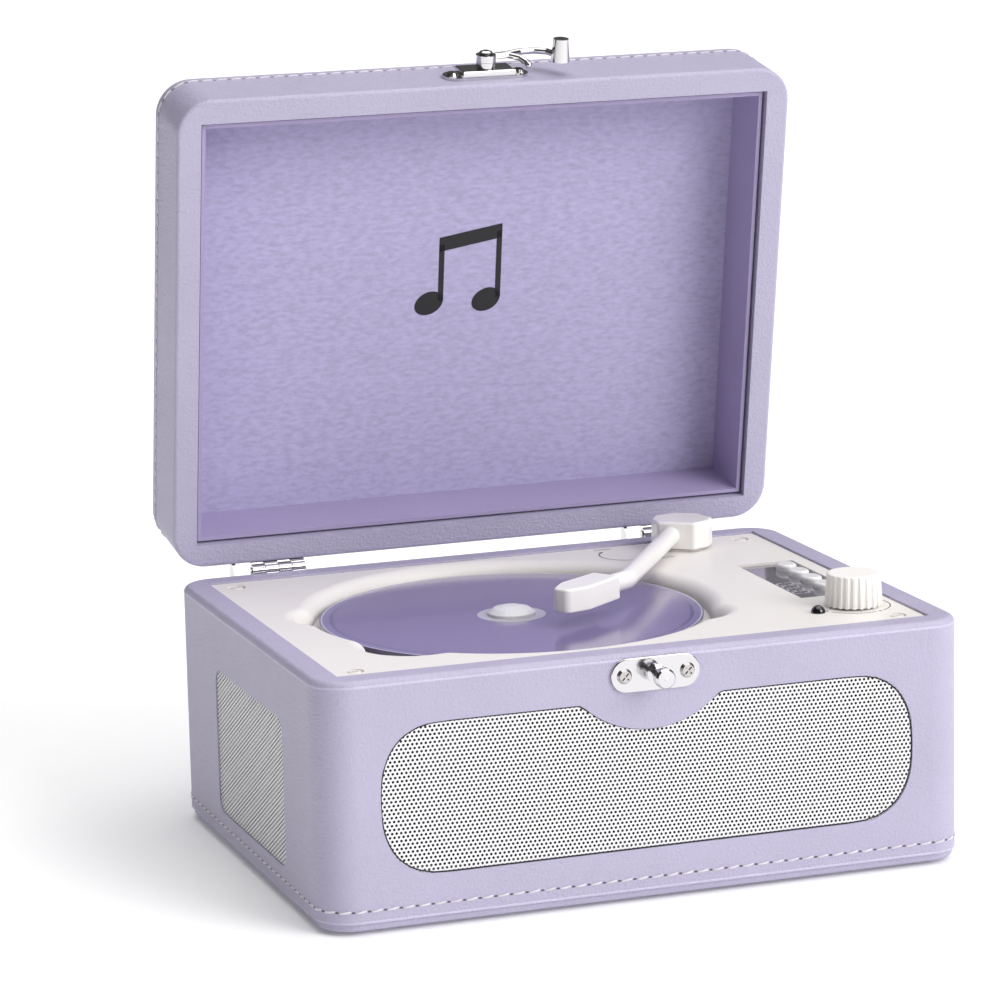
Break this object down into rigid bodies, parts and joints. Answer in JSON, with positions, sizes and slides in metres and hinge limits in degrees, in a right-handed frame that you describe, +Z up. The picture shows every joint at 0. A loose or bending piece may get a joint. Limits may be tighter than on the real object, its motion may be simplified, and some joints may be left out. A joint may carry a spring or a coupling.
{
  "type": "suitcase record player",
  "caption": "Suitcase-style disc player shaped like a turntable, with a hinged latched lid, swinging tonearm, knob, buttons, speaker grilles and a disc drive.",
  "frame": {"origin": "centre of the case's underside, above the rubber feet", "axes": "+X to the right of someone facing the front grille, +Y to the hinged back, +Z up"},
  "size_m": [0.206, 0.1956, 0.2464],
  "materials": {
    "leatherette": "pebbled lavender leatherette",
    "grille": "perforated sheet, satin white",
    "deck_plastic": "satin off-white",
    "arm_plastic": "glossy white",
    "knob_plastic": "fluted, satin white",
    "button_plastic": "glossy white",
    "lens_glass": "smoked, glossy",
    "sensor_black": "glossy black",
    "steel": "polished nickel plate",
    "screw_steel": "plain",
    "screw_white": "white paint",
    "disc_coat": "printed polycarbonate",
    "clear_hub": "glossy",
    "board": "solder mask",
    "black_plastic": "matte",
    "mdf": "black-painted board",
    "bare_wood": "raw fibreboard",
    "cone_paper": "pressed paper",
    "rubber": "matte",
    "zinc_sheet": "zinc plated",
    "lining": "short felt",
    "lining_panel": "mottled felt",
    "optic": "coated"
  },
  "bodies": {
    "base": {"case_shell": "leatherette", "bottom_panel": "leatherette", "rubber_feet": "rubber", "corner_posts": "bare_wood", "bottom_screws": "screw_steel", "front_grille": "grille", "left_grille": "grille", "right_grille": "grille", "speaker_baffle": "mdf", "side_backings": "mdf", "speaker_baskets": "zinc_sheet", "speaker_cones": "cone_paper", "deck_panel": "deck_plastic", "deck_screws": "screw_white", "display_lens": "lens_glass", "control_board": "board", "tact_switches": "black_plastic", "sensor_dome": "sensor_black", "volume_pot": "zinc_sheet", "cd_chassis": "black_plastic", "chassis_dampers": "rubber", "spindle_motor": "zinc_sheet", "sled_rods": "steel", "sled_motor": "zinc_sheet", "main_board": "board", "rear_panel": "black_plastic", "aux_jack": "black_plastic", "dc_jack": "black_plastic", "power_switch": "black_plastic", "tonearm_foot": "arm_plastic", "arm_switch": "black_plastic", "catch_plate": "steel", "catch_post": "steel", "case_hardware_screws": "screw_steel", "hinge_base_leaves": "steel", "hinge_pins": "steel"},
    "lid": {"hinge_lid_leaves": "steel", "lid_shell": "leatherette", "lid_liner": "lining", "lid_panel": "lining_panel", "latch_plate": "steel", "latch_rivet": "steel", "lid_hardware_screws": "screw_steel"},
    "latch_arm": {"latch_arm": "steel"},
    "tonearm": {"tonearm_shaft": "zinc_sheet", "tonearm_housing": "arm_plastic", "tonearm_tube": "arm_plastic", "tonearm_head": "arm_plastic"},
    "volume": {"pot_shaft": "zinc_sheet", "volume_knob": "knob_plastic"},
    "play_button": {"play_button": "button_plastic"},
    "back_button": {"back_button": "button_plastic"},
    "next_button": {"next_button": "button_plastic"},
    "source_button": {"source_button": "button_plastic"},
    "disc_spindle": {"turntable_hub": "clear_hub", "disc": "disc_coat"},
    "laser_sled": {"laser_sled": "black_plastic"},
    "objective_lens": {"objective_lens": "optic"},
    "drive_pinion": {"drive_pinion": "black_plastic"},
    "switch_slider": {"switch_slider": "black_plastic"}
  },
  "joints": [
    {"name": "lid_hinge", "type": "hinge", "parent": "base", "child": "lid", "pos_m": [0, 0.0807, 0.0757], "axis": [1, 0, 0], "range_deg": [0, 80]},
    {"name": "latch_swing", "type": "hinge", "parent": "lid", "child": "latch_arm", "pos_m": [0.0012, 0.06309, 0.23374], "axis": [0, 0.1736, -0.9848], "range_deg": [0, 90]},
    {"name": "tonearm_swing", "type": "hinge", "parent": "base", "child": "tonearm", "pos_m": [0.0648, 0.059, 0.08], "axis": [0, 0, 1], "range_deg": [0, 33]},
    {"name": "volume_turn", "type": "hinge", "parent": "base", "child": "volume", "pos_m": [0.0805, -0.0446, 0.08], "axis": [0, 0, 1], "range_deg": [-150, 150]},
    {"name": "play_button_press", "type": "slide", "parent": "base", "child": "play_button", "axis": [0, 0, -1], "range_m": [0, 0.0006], "stiffness_N_per_m": 300},
    {"name": "back_button_press", "type": "slide", "parent": "base", "child": "back_button", "axis": [0, 0, -1], "range_m": [0, 0.0006], "stiffness_N_per_m": 300},
    {"name": "next_button_press", "type": "slide", "parent": "base", "child": "next_button", "axis": [0, 0, -1], "range_m": [0, 0.0006], "stiffness_N_per_m": 300},
    {"name": "source_button_press", "type": "slide", "parent": "base", "child": "source_button", "axis": [0, 0, -1], "range_m": [0, 0.0006], "stiffness_N_per_m": 300},
    {"name": "disc_spin", "type": "hinge", "parent": "base", "child": "disc_spindle", "pos_m": [-0.0154, 0.0018, 0.07], "axis": [0, 0, 1], "continuous": true},
    {"name": "laser_slide", "type": "slide", "parent": "base", "child": "laser_sled", "axis": [0, 1, 0], "range_m": [0, 0.0331]},
    {"name": "lens_focus", "type": "slide", "parent": "laser_sled", "child": "objective_lens", "axis": [0, 0, 1], "range_m": [-0.0004, 0.0006], "stiffness_N_per_m": 40},
    {"name": "pinion_spin", "type": "hinge", "parent": "base", "child": "drive_pinion", "pos_m": [0.0142, 0.0318, 0.06], "axis": [0, 0, 1], "range_deg": [-296.5, 0]},
    {"name": "power_slide", "type": "slide", "parent": "base", "child": "switch_slider", "axis": [1, 0, 0], "range_m": [0, 0.004]}
  ],
  "couplings": [
    {"joint": "pinion_spin", "follows": "laser_slide", "rad_per_m": -156.25}
  ]
}
